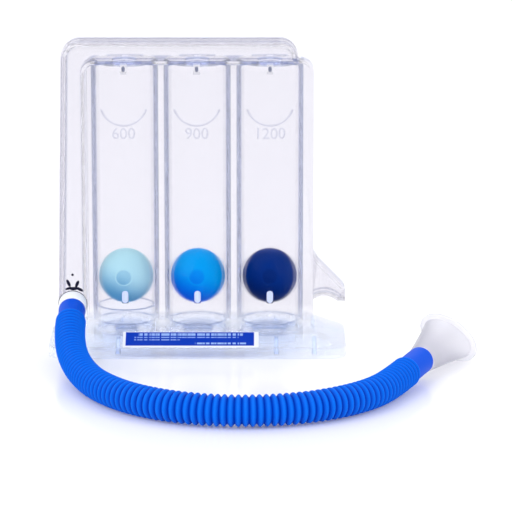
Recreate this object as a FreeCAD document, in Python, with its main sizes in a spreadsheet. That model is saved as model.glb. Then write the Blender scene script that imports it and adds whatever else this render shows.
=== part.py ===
import FreeCAD, Part
import math
import os
import re

import Sketcher

# Incentive spirometer with three balls. Millimetres, +X right, -Y towards the user, +Z up.
# The origin is on the surface it stands on, under the axis of the middle chamber.

SIZES = {
    # Balls and chambers
    "ball_diameter": 25.4,
    "ball_clearance": 0.8,
    "ball_rest_height": 32.5,
    "chamber_wall": 2.0,
    "chamber_pitch": 33.5,
    "chamber_ceiling": 133.0,
    "cap_wall": 1.4,
    "cap_rounding": 3.5,
    "rest_gap": 0.25,
    "rest_reach": 6.5,
    "rest_thickness": 3.0,
    "stop_height": 3.5,
    "stop_gap": 9.0,
    "outlet_bore": 12.0,
    # Body frame at the parting plane
    "body_length": 107.4,
    "shell_wall": 1.8,
    "rim_depth": 10.4,
    "rim_corner": 5.5,
    "web_thickness": 3.0,
    "weld_lip": 0.8,
    "foot_fillet": 3.0,
    # Header and duct
    "header_rise": 10.4,
    "header_depth": 22.0,
    "header_right": 45.8,
    "header_left_corner": 8.0,
    "header_right_corner": 7.5,
    "header_edge": 2.5,
    "duct_left_top": 61.8,
    "duct_left_foot": 64.6,
    "duct_right": 51.2,
    "duct_inner_corner": 4.0,
    # Hose spigot
    "port_height": 21.4,
    "port_tilt": 12.0,
    "boss_diameter": 12.6,
    "boss_length": 7.2,
    "spigot_length": 9.0,
    "spigot_wall": 1.0,
    # Base
    "base_length": 137.2,
    "base_width": 61.6,
    "base_rim_height": 4.6,
    "base_front_corner": 8.0,
    "base_rear_corner": 20.0,
    "plateau_height": 10.4,
    "plateau_width": 37.0,
    "plateau_front_corner": 3.0,
    "plateau_rear_corner": 6.0,
    "base_rib_thickness": 1.5,
    "base_rib_inner": 36.7,
    "base_rib_outer": 54.5,
    # Tray under the base
    "tray_wall": 1.8,
    "tray_recess": 1.2,
    "tray_floor": 1.8,
    "tray_gap": 0.2,
    "inlet_slot_length": 20.0,
    "collar_gap": 0.15,
    "collar_wall": 1.0,
    "collar_top": 12.0,
    "collar_top_left": 19.0,
    "diaphragm_top": 8.0,
    "diaphragm_thickness": 1.5,
    "inlet_bore_left": 12.0,
    "inlet_bore_middle": 15.0,
    "inlet_bore_right": 18.0,
    "inlet_bar": 2.4,
    # Hose clip
    "clip_top": 44.6,
    "clip_knee_reach": 56.4,
    "clip_knee_height": 40.2,
    "clip_shoulder_height": 27.6,
    "clip_tip_height": 21.4,
    "clip_bore": 18.4,
    "clip_bore_reach": 58.8,
    "clip_bore_height": 14.5,
    # Label
    "label_length": 62.6,
    "label_width": 11.2,
    "label_thickness": 0.25,
    "label_shift": -3.0,
    "label_gap": 0.05,
    # Hose
    "hose_diameter": 14.0,
    "cuff_diameter": 12.3,
    "cuff_wall": 1.2,
    "cuff_fit": 0.1,
    "cuff_body_length": 11.0,
    "cuff_mouth_length": 17.5,
    "hose_level": 7.05,
    # Mouthpiece
    "stem_length": 9.0,
    "stem_wall": 1.0,
    "mouth_length": 38.5,
    "mouth_waist": 14.0,
    "waist_long": 16.6,
    "waist_short": 13.0,
    "mouth_long": 26.0,
    "mouth_short": 14.4,
    "mouth_wall": 1.3,
    "lip_thickness": 2.4,
    "lip_margin": 1.7,
    "lip_rounding": 0.9,
    "mouth_roll": 30.0,
}

CHAMBERS = (("left", "-1"), ("middle", "0"), ("right", "1"))

# The hose leaves the spigot, comes down to the surface and sweeps round in front of the base.
# Each point is (x, y, z); the first point and the second one's height follow the spigot's axis.
HOSE_START = 44.5
HOSE_POINTS = (
    (-54.0, -68.0, 9.4),
    (-46.0, -93.5, None),
    (-36.0, -113.5, None),
    (-23.5, -127.8, None),
    (-7.8, -138.2, None),
    (10.3, -143.9, None),
    (29.2, -144.4, None),
    (47.4, -139.8, None),
    (63.8, -130.4, None),
    (77.2, -117.0, None),
    (86.4, -100.2, None),
    (93.9, -82.6, 7.98),
)
BEND_SHARE = 0.45

doc = FreeCAD.newDocument("incentive_spirometer")
sheet = doc.addObject("Spreadsheet::Sheet", "Sizes")
for row, (alias, number) in enumerate(SIZES.items(), start=1):
    sheet.set("A%d" % row, alias)
    sheet.set("B%d" % row, str(number))
    sheet.setAlias("B%d" % row, alias)
doc.recompute()

# Sizes that follow from others
CHAMBER_BORE = "(ball_diameter / 2 + ball_clearance)"
CHAMBER_OUTER = "(ball_diameter / 2 + ball_clearance + chamber_wall)"
BODY_TOP = "(chamber_ceiling + shell_wall)"
CAP_TOP = "(chamber_ceiling + cap_wall)"
HEADER_TOP = "(chamber_ceiling + header_rise)"
BODY_HALF = "(body_length / 2)"
BASE_HALF = "(base_length / 2)"
SLOPE_RISE = "(plateau_height - base_rim_height)"
SIDE_RUN = "(base_length / 2 - body_length / 2)"
FRONT_RUN = "(base_width / 2 - plateau_width / 2)"
PORT_X = "(-(duct_left_foot + duct_right) / 2)"
CUFF_BORE = "(cuff_diameter / 2 - cuff_wall)"
SPIGOT = "(cuff_diameter / 2 - cuff_wall - cuff_fit)"
TRAY_TOP = "(tray_recess + tray_floor)"


def formula(text):
    """The same formula with the sheet's name before each alias."""
    return re.sub(r"[a-z]+(?:_[a-z]+)+", lambda found: "Sizes." + found.group(), text)


def value(text):
    """The number that a formula gives."""
    return float(sheet.evalExpression(formula(text)))


def bind(part, **formulas):
    for name, text in formulas.items():
        part.setExpression(name, formula(text))
    return part


def move(part, x="0", y="0", z="0"):
    for name, text in (("x", x), ("y", y), ("z", z)):
        part.setExpression("Placement.Base." + name, formula(text))
    return part


def turn(part, rotation):
    part.Placement = FreeCAD.Placement(part.Placement.Base, rotation)
    return part


def cylinder(name, radius, height, x="0", y="0", z="0"):
    part = doc.addObject("Part::Cylinder", name)
    return move(bind(part, Radius=radius, Height=height), x, y, z)


def block(name, length, width, height, x="0", y="0", z="0"):
    """A box centred on x and y, standing on z."""
    part = doc.addObject("Part::Box", name)
    bind(part, Length=length, Width=width, Height=height)
    return move(part, "%s - (%s) / 2" % (x, length), "%s - (%s) / 2" % (y, width), z)


def fuse(name, parts):
    part = doc.addObject("Part::MultiFuse", name)
    part.Shapes = parts
    return part


def cut(name, base, tool):
    part = doc.addObject("Part::Cut", name)
    part.Base = base
    part.Tool = tool
    return part


def common(name, parts):
    part = doc.addObject("Part::MultiCommon", name)
    part.Shapes = parts
    return part


FRONT_VIEW = FreeCAD.Rotation(FreeCAD.Vector(1, 0, 0), 90)
SIDE_VIEW = FreeCAD.Rotation(FreeCAD.Vector(1, 1, 1), 120)
PLAN_VIEW = FreeCAD.Rotation()


def turn_arc(before, corner, after, radius):
    """Ends and centre of the arc that rounds a corner, and whether it turns to the left."""
    back = (before - corner).normalize()
    ahead = (after - corner).normalize()
    half = back.getAngle(ahead) / 2
    reach = radius / math.tan(half)
    middle = (back + ahead).normalize()
    centre = corner + middle * (radius / math.sin(half))
    return corner + back * reach, centre, corner + ahead * reach, back.cross(ahead).z < 0


def outline(name, corners, view, level="0"):
    """A closed sketch. Each corner is (across, up, radius), where the radius may be None."""
    sketch = doc.addObject("Sketcher::SketchObject", name)
    sketch.Placement = FreeCAD.Placement(FreeCAD.Vector(), view)
    count = len(corners)
    spots = [FreeCAD.Vector(value(across), value(up), 0) for across, up, radius in corners]
    leave = []
    arrive = []
    arcs = {}
    for number, (across, up, radius) in enumerate(corners):
        if radius is None:
            arrive.append(spots[number])
            leave.append(spots[number])
            continue
        arc = turn_arc(spots[number - 1], spots[number], spots[(number + 1) % count], value(radius))
        arrive.append(arc[0])
        leave.append(arc[2])
        arcs[number] = arc
    for number in range(count):
        sketch.addGeometry(Part.LineSegment(leave[number], arrive[(number + 1) % count]))
    for number, spot in enumerate(spots):
        point = sketch.addGeometry(Part.Point(spot), True)
        for kind, text in (("DistanceX", corners[number][0]), ("DistanceY", corners[number][1])):
            index = sketch.addConstraint(Sketcher.Constraint(kind, -1, 1, point, 1, value(text)))
            sketch.setExpression("Constraints[%d]" % index, formula(text))
        before = (number - 1) % count
        if number not in arcs:
            sketch.addConstraint(Sketcher.Constraint("Coincident", before, 2, point, 1))
            sketch.addConstraint(Sketcher.Constraint("Coincident", number, 1, point, 1))
            continue
        sketch.addConstraint(Sketcher.Constraint("PointOnObject", point, 1, before))
        sketch.addConstraint(Sketcher.Constraint("PointOnObject", point, 1, number))
        first, centre, last, leftwards = arcs[number]
        radius = value(corners[number][2])
        circle = Part.Circle(centre, FreeCAD.Vector(0, 0, 1), radius)
        ends = (first, last) if leftwards else (last, first)
        angles = [math.atan2(end.y - centre.y, end.x - centre.x) for end in ends]
        arc = sketch.addGeometry(Part.ArcOfCircle(circle, angles[0], angles[1]))
        start, finish = (1, 2) if leftwards else (2, 1)
        sketch.addConstraint(Sketcher.Constraint("Tangent", before, 2, arc, start))
        sketch.addConstraint(Sketcher.Constraint("Tangent", number, 1, arc, finish))
        index = sketch.addConstraint(Sketcher.Constraint("Radius", arc, radius))
        sketch.setExpression("Constraints[%d]" % index, formula(corners[number][2]))
    return move(sketch, z=level) if view is PLAN_VIEW else sketch


def extrude(name, sketch, depth, centred=True):
    part = doc.addObject("Part::Extrusion", name)
    part.Base = sketch
    part.DirMode = "Normal"
    part.Solid = True
    part.Symmetric = centred
    return bind(part, LengthFwd=depth)


def shrink(name, sketch, wall):
    """The outline one wall further in."""
    part = doc.addObject("Part::Offset2D", name)
    part.Source = sketch
    return bind(part, Value="-" + wall)


def loft(name, sections, ruled=True):
    part = doc.addObject("Part::Loft", name)
    part.Sections = sections
    part.Solid = True
    part.Ruled = ruled
    return part


def round_edges(name, base, radius, chosen):
    """Rounds each edge of base that chosen accepts."""
    doc.recompute()
    size = value(radius)
    part = doc.addObject("Part::Fillet", name)
    part.Base = base
    edges = enumerate(base.Shape.Edges, start=1)
    part.Edges = [(index, size, size) for index, edge in edges if chosen(edge)]
    return part


def flat_at(edge, axis, level):
    """Whether an edge lies wholly at one level along an axis."""
    box = edge.BoundBox
    low = {"y": box.YMin, "z": box.ZMin}[axis]
    high = {"y": box.YMax, "z": box.ZMax}[axis]
    return abs(low - level) < 1e-3 and abs(high - level) < 1e-3


# Body forms

def duct_form(name, inset, floor, ledge):
    """The header over the chambers and the duct at their left, which bring the air to the hose."""
    corners = [
        ("-(duct_left_foot - %s)" % inset, floor, None),
        ("-(duct_left_top - %s)" % inset, "%s - %s" % (HEADER_TOP, inset), "header_left_corner - %s" % inset),
        ("header_right - %s" % inset, "%s - %s" % (HEADER_TOP, inset), "header_right_corner - %s" % inset),
        ("header_right - %s" % inset, ledge, None),
        ("-(duct_right + %s)" % inset, ledge, "duct_inner_corner + %s" % inset),
        ("-(duct_right + %s)" % inset, floor, None),
    ]
    form = extrude(name, outline(name + "_outline", corners, FRONT_VIEW), "header_depth - 2 * %s" % inset)
    edge = "header_edge - %s / 2" % inset
    face = value("header_depth / 2 - %s" % inset)

    def on_a_face(side):
        return flat_at(side, "y", face) or flat_at(side, "y", -face)

    return round_edges(name + "_rounded", form, edge, on_a_face)


def plan(name, length, width, front_corner, rear_corner, level):
    """A plan of the base, with its own corners at the front and at the rear."""
    corners = [
        ("-(%s) / 2" % length, "-(%s) / 2" % width, front_corner),
        ("(%s) / 2" % length, "-(%s) / 2" % width, front_corner),
        ("(%s) / 2" % length, "(%s) / 2" % width, rear_corner),
        ("-(%s) / 2" % length, "(%s) / 2" % width, rear_corner),
    ]
    return outline(name, corners, PLAN_VIEW, level)


def base_form(name, wall):
    """The skirt from the tray's rim up to the plateau, a wall thinner all over."""
    drop = "%s / %s" % (wall, SLOPE_RISE)
    foot = plan(name + "_foot", "base_length - 2 * %s * %s" % (SIDE_RUN, drop),
                "base_width - 2 * %s * %s" % (FRONT_RUN, drop),
                "base_front_corner", "base_rear_corner", "base_rim_height")
    top = plan(name + "_top", "body_length", "plateau_width",
               "plateau_front_corner", "plateau_rear_corner", "plateau_height - %s" % wall)
    return loft(name, [foot, top])


def body_frame():
    """The deep rim round the chambers, of which the hose clip is a branch."""
    corners = [
        ("-" + BODY_HALF, "base_rim_height", None),
        (BODY_HALF, "base_rim_height", None),
        (BODY_HALF, BODY_TOP, "rim_corner"),
        ("-" + BODY_HALF, BODY_TOP, "rim_corner"),
    ]
    shape = outline("frame_outline", corners, FRONT_VIEW)
    solid = extrude("frame_solid", shape, "rim_depth")
    hollow = extrude("frame_hollow", shrink("frame_inner_outline", shape, "shell_wall"), "rim_depth + 2")
    return cut("frame_rim", solid, hollow)


def parting_web():
    """The flat web in the parting plane. It joins the chambers and stands out as a weld lip."""
    corners = [
        ("-" + BASE_HALF, "base_rim_height", None),
        ("-" + BASE_HALF, "base_rim_height + weld_lip", None),
        ("-(duct_left_foot + weld_lip)", "base_rim_height + 3 * weld_lip", None),
        ("-(duct_left_top + weld_lip)", HEADER_TOP + " + weld_lip", "header_left_corner + weld_lip"),
        ("header_right + weld_lip", HEADER_TOP + " + weld_lip", "header_right_corner + weld_lip"),
        ("header_right + weld_lip", BODY_TOP, None),
        (BODY_HALF, BODY_TOP, "rim_corner"),
        (BODY_HALF, "plateau_height + weld_lip", "foot_fillet"),
        (BASE_HALF, "base_rim_height + weld_lip", None),
        (BASE_HALF, "base_rim_height", None),
    ]
    return extrude("parting_web", outline("web_outline", corners, FRONT_VIEW), "web_thickness")


def hose_clip():
    """A hook at the right edge, open below, that takes the hose when it is put away."""
    root = "(body_length / 2 - shell_wall)"
    corners = [
        (root, "clip_bore_height", None),
        (BASE_HALF, "clip_bore_height", None),
        (BASE_HALF, "clip_shoulder_height", "rim_corner / 2"),
        ("clip_knee_reach", "clip_knee_height", "rim_corner"),
        (BODY_HALF, "clip_top", None),
        (root, "clip_top", None),
    ]
    shape = outline("clip_outline", corners, FRONT_VIEW)
    solid = extrude("clip_solid", shape, "rim_depth")
    hollow = extrude("clip_hollow", shrink("clip_inner_outline", shape, "shell_wall"), "rim_depth + 2")
    web = extrude("clip_web", shape, "web_thickness")
    lining = cylinder("clip_lining", "clip_bore / 2 + shell_wall", "rim_depth", "clip_bore_reach",
                      "rim_depth / 2", "clip_bore_height")
    turn(lining, FRONT_VIEW)
    body = fuse("clip_body", [cut("clip_rim", solid, hollow), web, common("clip_arch", [solid, lining])])
    bore = cylinder("clip_mouth", "clip_bore / 2", "rim_depth + 2", "clip_bore_reach",
                    "rim_depth / 2 + 1", "clip_bore_height")
    turn(bore, FRONT_VIEW)
    below = block("clip_below", "base_length", "rim_depth + 2", "clip_tip_height - base_rim_height",
                  BODY_HALF + " + base_length / 2", "0", "base_rim_height")
    return cut("hose_clip", body, fuse("clip_opening", [bore, below]))


def along_port(name, radius, start, length):
    """A round piece on the spigot's axis, which leaves the duct's front and leans down."""
    part = doc.addObject("Part::Cylinder", name)
    part.Placement = FreeCAD.Placement(FreeCAD.Vector(), FreeCAD.Rotation(FreeCAD.Vector(1, 0, 0), 90))
    part.setExpression("Placement.Rotation.Angle", formula("90 + port_tilt"))
    bind(part, Radius=radius, Height=length)
    return move(part, PORT_X, "-header_depth / 2 - (%s) * cos(port_tilt)" % start,
                "port_height - (%s) * sin(port_tilt)" % start)


def chamber_x(side):
    return "chamber_pitch * %s" % side


def rest_fin(name, side, facing):
    """A gusset under the ball with a 45 degree edge, just clear of it."""
    drop = "(ball_diameter / 2 + rest_gap) * sqrt(2)"
    wall = "(ball_diameter / 2 + ball_clearance + chamber_wall / 2)"
    foot = "ball_rest_height - %s + %s - rest_reach" % (drop, wall)
    corners = [
        (wall, "%s + rest_reach" % foot, None),
        (wall, foot, None),
        ("%s - rest_reach" % wall, foot, None),
    ]
    fin = extrude(name, outline(name + "_outline", corners, SIDE_VIEW), "rest_thickness")
    move(fin, chamber_x(side))
    if facing < 0:
        turn(fin, FreeCAD.Rotation(FreeCAD.Vector(0, 0, 1), 180))
    return fin


def stop_bar(name, side, facing):
    """A fin under the ceiling that keeps the ball from closing the outlet."""
    wall = "(ball_diameter / 2 + ball_clearance + chamber_wall / 2)"
    depth = "(%s - stop_gap / 2)" % wall
    middle = "%s * (stop_gap / 2 + %s / 2)" % (facing, depth)
    return block(name, "rest_thickness", depth, "stop_height + shell_wall / 2", chamber_x(side), middle,
                 "chamber_ceiling - stop_height")


def housing():
    """Both half shells in one, before they are parted."""
    skirt = base_form("skirt_outer", "0")
    skirt_hollow = base_form("skirt_inner", "shell_wall")
    duct = duct_form("duct_outer", "0", "base_rim_height", "chamber_ceiling")
    duct_hollow = duct_form("duct_inner", "shell_wall", "plateau_height", BODY_TOP)
    boss = along_port("port_boss", "boss_diameter / 2", "-header_edge", "header_edge + boss_length")
    spigot = along_port("port_spigot", SPIGOT, "0", "boss_length + spigot_length")
    outer = fuse("outer_forms", [skirt, duct, body_frame(), parting_web(), boss, spigot])
    skin = cut("skin", outer, fuse("air_spaces", [skirt_hollow, duct_hollow]))
    parts = [skin, hose_clip()]
    for number, reach in enumerate(("-base_rib_outer", "-base_rib_inner", "base_rib_inner", "base_rib_outer")):
        rib = block("base_rib_%d" % number, "base_rib_thickness", "base_width", SLOPE_RISE, reach, "0",
                    "base_rim_height")
        parts.append(common("fitted_rib_%d" % number, [rib, skirt]))
    bores = [along_port("port_bore", SPIGOT + " - spigot_wall", "-2 * shell_wall",
                        "2 * shell_wall + boss_length + spigot_length + 1")]
    fins = []
    for label, side in CHAMBERS:
        foot = TRAY_TOP + " + tray_gap"
        tube = cylinder("chamber_%s" % label, CHAMBER_OUTER, "%s - (%s)" % (CAP_TOP, foot),
                        chamber_x(side), "0", foot)

        def at_the_cap(edge):
            return flat_at(edge, "z", value(CAP_TOP))

        parts.append(round_edges("chamber_%s_rounded" % label, tube, "cap_rounding", at_the_cap))
        bores.append(cylinder("bore_%s" % label, CHAMBER_BORE, "chamber_ceiling", chamber_x(side)))
        bores.append(cylinder("outlet_%s" % label, "outlet_bore / 2", "2 * shell_wall", chamber_x(side), "0",
                              "chamber_ceiling - shell_wall / 2"))
        for facing, word in ((-1, "front"), (1, "rear")):
            fins.append(rest_fin("rest_%s_%s" % (label, word), side, facing))
            fins.append(stop_bar("stop_%s_%s" % (label, word), side, facing))
    bored = cut("bored_body", fuse("solid_body", parts), fuse("bores", bores))
    return fuse("housing", [bored] + fins)


def shells():
    """The housing parted at the plane through the chamber axes."""
    whole = housing()
    room = "2 * base_length"
    front = common("front", [whole, block("front_side", room, room, room, "0", "-base_length")])
    rear = common("rear", [whole, block("rear_side", room, room, room, "0", "base_length")])
    return {"front_shell": front, "rear_shell": rear}


def base_tray():
    """The foot under the skirt, with a recessed floor, air slots at the rear and an inlet per chamber."""
    whole = extrude("tray_solid", plan("tray_plan", "base_length", "base_width", "base_front_corner",
                                       "base_rear_corner", "0"), "base_rim_height", centred=False)
    inner = ("base_length - 2 * tray_wall", "base_width - 2 * tray_wall", "base_front_corner - tray_wall",
             "base_rear_corner - tray_wall")
    above = extrude("tray_inside", plan("tray_inside_plan", *inner, TRAY_TOP), "base_rim_height", centred=False)
    below = extrude("tray_recess_form", plan("tray_recess_plan", *inner, "-1"), "tray_recess + 1", centred=False)
    holes = [above, below]
    added = []
    outer = "(%s - collar_gap)" % CHAMBER_BORE
    for label, side in CHAMBERS:
        x = chamber_x(side)
        top = "collar_top_left" if label == "left" else "collar_top"
        collar = cylinder("collar_%s" % label, outer, "%s - tray_recess" % top, x, "0", "tray_recess")
        cup = cylinder("cup_%s" % label, outer + " - collar_wall", top, x, "0", "diaphragm_top")
        well = cylinder("well_%s" % label, outer + " - collar_wall", "diaphragm_top - diaphragm_thickness + 1",
                        x, "0", "-1")
        bore = cylinder("inlet_%s" % label, "inlet_bore_%s / 2" % label, "collar_top", x)
        added.append(cut("inlet_collar_%s" % label, collar, fuse("inlet_hollow_%s" % label, [cup, well, bore])))
        added.append(block("bar_%s" % label, "inlet_bore_%s + 1" % label, "inlet_bar", "diaphragm_thickness",
                           x, "0", "diaphragm_top - diaphragm_thickness"))
        holes.append(cylinder("well_through_%s" % label, outer + " - collar_wall", TRAY_TOP + " + 1", x, "0", "-1"))
        holes.append(block("slot_%s" % label, "inlet_slot_length", "4 * tray_wall", "tray_recess + 1",
                           x, "base_width / 2", "-1"))
    tray = cut("tray_shell", whole, fuse("tray_holes", holes))
    return fuse("tray", [tray] + added)


def base_label():
    """A thin label on the front slope of the skirt."""
    lean = "atan(%s / %s)" % (SLOPE_RISE, FRONT_RUN)
    slope = "(%s / sin(%s))" % (SLOPE_RISE, lean)
    margin = "(%s / 2 - label_width / 2)" % slope
    label = doc.addObject("Part::Box", "label")
    label.Placement = FreeCAD.Placement(FreeCAD.Vector(), FreeCAD.Rotation(FreeCAD.Vector(1, 0, 0), 1))
    label.setExpression("Placement.Rotation.Angle", formula(lean))
    bind(label, Length="label_length", Width="label_width", Height="label_thickness")
    return move(label, "label_shift - label_length / 2",
                "-base_width / 2 + %s * cos(%s) - label_gap * sin(%s)" % (margin, lean, lean),
                "base_rim_height + %s * sin(%s) + label_gap * cos(%s)" % (margin, lean, lean))


def ball(side):
    part = doc.addObject("Part::Sphere", "ball")
    bind(part, Radius="ball_diameter / 2")
    return move(part, chamber_x(side), "0", "ball_rest_height")


# Hose

def hose_route():
    """The route's points, from the cuff at the spigot to the cuff at the mouthpiece."""
    tilt = math.radians(value("port_tilt"))
    lead = value("boss_length + cuff_body_length")
    face = -value("header_depth") / 2
    x = value(PORT_X)
    height = value("port_height")
    first = FreeCAD.Vector(x, face - lead * math.cos(tilt), height - lead * math.sin(tilt))
    second = FreeCAD.Vector(x, -HOSE_START, height - (HOSE_START + face) * math.tan(tilt))
    level = value("hose_level")
    rest = [FreeCAD.Vector(a, b, level if c is None else c) for a, b, c in HOSE_POINTS]
    return [first, second] + rest


def tube_path(points):
    """Straight runs joined by tangent arcs, with the arcs' radii."""
    edges = []
    radii = []
    start = points[0]
    for before, corner, after in zip(points, points[1:], points[2:]):
        back = before - corner
        ahead = after - corner
        half_turn = (math.pi - back.getAngle(ahead)) / 2
        reach = BEND_SHARE * min(back.Length, ahead.Length)
        radius = reach / math.tan(half_turn)
        first = corner + back.normalize() * reach
        last = corner + ahead.normalize() * reach
        inward = (back + ahead).normalize()
        middle = corner + inward * (radius / math.cos(half_turn) - radius)
        edges.append(Part.LineSegment(start, first).toShape())
        edges.append(Part.Arc(first, middle, last).toShape())
        radii.append(radius)
        start = last
    edges.append(Part.LineSegment(start, points[-1]).toShape())
    return Part.Wire(edges), radii


def hose(points):
    """The hose as a plain round rod along its route."""
    path, radii = tube_path(points)
    radius = value("hose_diameter") / 2
    circle = Part.Circle(points[0], points[1] - points[0], radius).toShape()
    shape = path.makePipeShell([Part.Wire([circle])], True, False)
    print("hose length %.1f" % path.Length)
    print("hose bend radii " + " ".join("%.0f" % bend for bend in radii))
    print("hose volume over section times length %.5f" % (shape.Volume / (math.pi * radius ** 2 * path.Length)))
    part = doc.addObject("Part::Feature", "hose_rod")
    part.Shape = shape
    return part


def sleeve(name, length):
    """A smooth cuff, open at both ends, along +Z."""
    wall = cylinder(name + "_wall", "cuff_diameter / 2", length)
    bore = cylinder(name + "_bore", CUFF_BORE, length + " + 2", "0", "0", "-1")
    return cut(name, wall, bore)


def facing(start, direction, roll=0.0):
    """A placement at start that turns +Z to a direction, with +X level before the roll."""
    ahead = FreeCAD.Vector(direction).normalize()
    level = ahead.cross(FreeCAD.Vector(0, 0, 1)).normalize()
    turned = FreeCAD.Rotation(level, ahead.cross(level), ahead, "ZXY")
    return FreeCAD.Placement(start, turned.multiply(FreeCAD.Rotation(FreeCAD.Vector(0, 0, 1), roll)))


# Mouthpiece

def oval(name, long_axis, short_axis, level):
    part = doc.addObject("Part::Ellipse", name)
    bind(part, MajorRadius="(%s) / 2" % long_axis, MinorRadius="(%s) / 2" % short_axis)
    return move(part, z=level)


def mouth_horn(name, root_radius, inset):
    """A horn from a round root to the oval mouth."""
    waist = oval(name + "_waist", "waist_long - 2 * %s" % inset, "waist_short - 2 * %s" % inset, "mouth_waist")
    mouth = oval(name + "_mouth", "mouth_long - 2 * %s" % inset, "mouth_short - 2 * %s" % inset, "mouth_length")
    root = doc.addObject("Part::Circle", name + "_root")
    bind(root, Radius=root_radius)
    return loft(name, [root, waist, mouth], ruled=False)


def mouthpiece():
    """A hollow horn with a stem for the cuff and a rolled oval lip, along +Z."""
    horn = mouth_horn("horn_outer", "cuff_diameter / 2", "0")
    stem = cylinder("stem", SPIGOT, "stem_length + 1", "0", "0", "-stem_length")
    lip = doc.addObject("Part::Extrusion", "lip")
    lip.Base = oval("lip_outline", "mouth_long + 2 * lip_margin", "mouth_short + 2 * lip_margin",
                    "mouth_length - lip_thickness")
    lip.DirMode = "Normal"
    lip.Solid = True
    bind(lip, LengthFwd="lip_thickness")

    def any_rim(edge):
        return edge.Length > value("mouth_long")

    rolled = round_edges("lip_rolled", lip, "lip_rounding", any_rim)
    hollow = fuse("mouth_hollow", [
        mouth_horn("horn_inner", SPIGOT + " - stem_wall", "mouth_wall"),
        cylinder("stem_bore", SPIGOT + " - stem_wall", "stem_length + 1.5", "0", "0", "-stem_length - 1")])
    return cut("mouth", fuse("mouth_forms", [horn, stem, rolled]), hollow)


def lowest_of_lip():
    """How far the rolled lip reaches below its own axis."""
    roll = math.radians(value("mouth_roll"))
    long_half = value("mouth_long / 2 + lip_margin")
    short_half = value("mouth_short / 2 + lip_margin")
    return math.hypot(long_half * math.sin(roll), short_half * math.cos(roll))


def build():
    parts = shells()
    parts["base_tray"] = base_tray()
    parts["base_label"] = base_label()
    for label, side in CHAMBERS:
        parts["ball_" + label] = ball(side)
    points = hose_route()
    parts["hose"] = hose(points)
    tilt = math.radians(value("port_tilt"))
    down = FreeCAD.Vector(0, -math.cos(tilt), -math.sin(tilt))
    body_cuff = sleeve("body_cuff", "cuff_body_length")
    body_cuff.Placement = facing(points[0] - down * value("cuff_body_length"), down)
    parts["hose_cuff_body"] = body_cuff
    out = (points[-1] - points[-2]).normalize()
    mouth_cuff = sleeve("mouth_cuff", "cuff_mouth_length")
    mouth_cuff.Placement = facing(points[-1], out)
    parts["hose_cuff_mouth"] = mouth_cuff
    horn = mouthpiece()
    end = points[-1] + out * value("cuff_mouth_length")
    horn.Placement = facing(end, out, value("mouth_roll"))
    parts["mouthpiece"] = horn
    lip_height = (end + out * value("mouth_length")).z - lowest_of_lip()
    print("lip stands %.2f above the surface" % lip_height)
    return parts


parts = build()
for name, part in parts.items():
    part.Label = name
doc.recompute()
for part in doc.Objects:
    if "Invalid" in part.State or "Error" in part.State:
        raise RuntimeError("%s failed: %s" % (part.Name, part.State))
os.makedirs("parts", exist_ok=True)
for name, part in parts.items():
    shape = part.Shape
    if shape.isNull() or not shape.isValid():
        raise RuntimeError("%s has no valid shape" % name)
    print("%s: %d solids, %.1f mm3" % (name, len(shape.Solids), shape.Volume))
for name, part in parts.items():
    part.Shape.exportStep("parts/%s.step" % name)
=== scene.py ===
import math

import bmesh
import bpy
from mathutils import Matrix, Vector


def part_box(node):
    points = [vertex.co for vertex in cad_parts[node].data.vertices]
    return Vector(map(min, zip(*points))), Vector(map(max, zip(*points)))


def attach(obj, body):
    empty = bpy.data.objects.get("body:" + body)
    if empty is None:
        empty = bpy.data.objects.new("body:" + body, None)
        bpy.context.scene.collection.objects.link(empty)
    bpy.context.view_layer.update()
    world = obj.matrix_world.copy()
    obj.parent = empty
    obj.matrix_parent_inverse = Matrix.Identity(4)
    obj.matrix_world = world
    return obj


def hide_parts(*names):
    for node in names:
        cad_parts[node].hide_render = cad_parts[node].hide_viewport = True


bl_info = {
    "name": "Incentive spirometer",
    "version": (1, 0, 0),
    "blender": (4, 5, 0),
    "location": "3D View > Sidebar > Spirometer",
    "description": "Builds a clear breathing exerciser with balls, a corrugated hose and a mouthpiece",
    "category": "Object",
}

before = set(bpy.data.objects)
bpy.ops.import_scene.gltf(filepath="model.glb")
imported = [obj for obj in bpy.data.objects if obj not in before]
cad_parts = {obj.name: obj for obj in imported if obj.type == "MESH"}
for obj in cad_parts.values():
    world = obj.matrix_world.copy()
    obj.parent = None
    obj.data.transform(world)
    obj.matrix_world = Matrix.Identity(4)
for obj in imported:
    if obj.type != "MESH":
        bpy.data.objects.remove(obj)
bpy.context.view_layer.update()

MM = 0.001
HOUSING = "housing"
SIDES = ("left", "middle", "right")

# The chambers: their spacing, their outside, and a line just beside the outer two. A reach past FAR
# is beside that line.
CHAMBER_PITCH = 33.5 * MM
CHAMBER_RADIUS = 15.5 * MM
CHAMBERS_SIDE = 49.2 * MM
FAR = 0.5

# Where the clear plastic looks different: inside the chambers, above their ceilings, beside the
# outer two and in the base. The shares are how much of the edge tint is left there. The edge tint is
# a painted shade that stands in for the dark refraction along the walls' edges. It comes in between
# two slants, of which 0 is face on and 1 is edge on.
EDGE_FROM, EDGE_FULL = 0.3, 0.44
BORE_REACH = 14.3 * MM
LEDGE_REACH = 13.6 * MM
ROOF_HEIGHT = 137 * MM
ROOF_SHARE = 0.5
BESIDE_SHARE = 0.65
# In the base, the foot tint and its painted glow are full below the glow top and gone at the foot top.
# The foot's cover changes over the blend above the foot top.
FOOT_TOP = 12 * MM
FOOT_BLEND = 7 * MM
GLOW_TOP = 7 * MM

# The boss that carries the hose's spigot, which leans towards the floor.
BOSS_ROOT = Vector((-57.9, -11.0, 21.4)) * MM
BOSS_TILT = math.radians(12.0)
BOSS_EDGE = 6.6 * MM

# Heights of the moulded figures and of the middle of the arcs over them, and the arcs' size.
NUMBER_SIZE = 7.4 * MM
NUMBER_HEIGHT = 100 * MM
ARC_HEIGHT = 119 * MM
ARC_RADIUS = 12.8 * MM
ARC_WIRE = 0.45 * MM
ARC_HALF = math.radians(62)

# The pegs' rounded faces stand at the chambers' fronts, clear of the balls.
PEG_FRONT = -13.3 * MM

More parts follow.
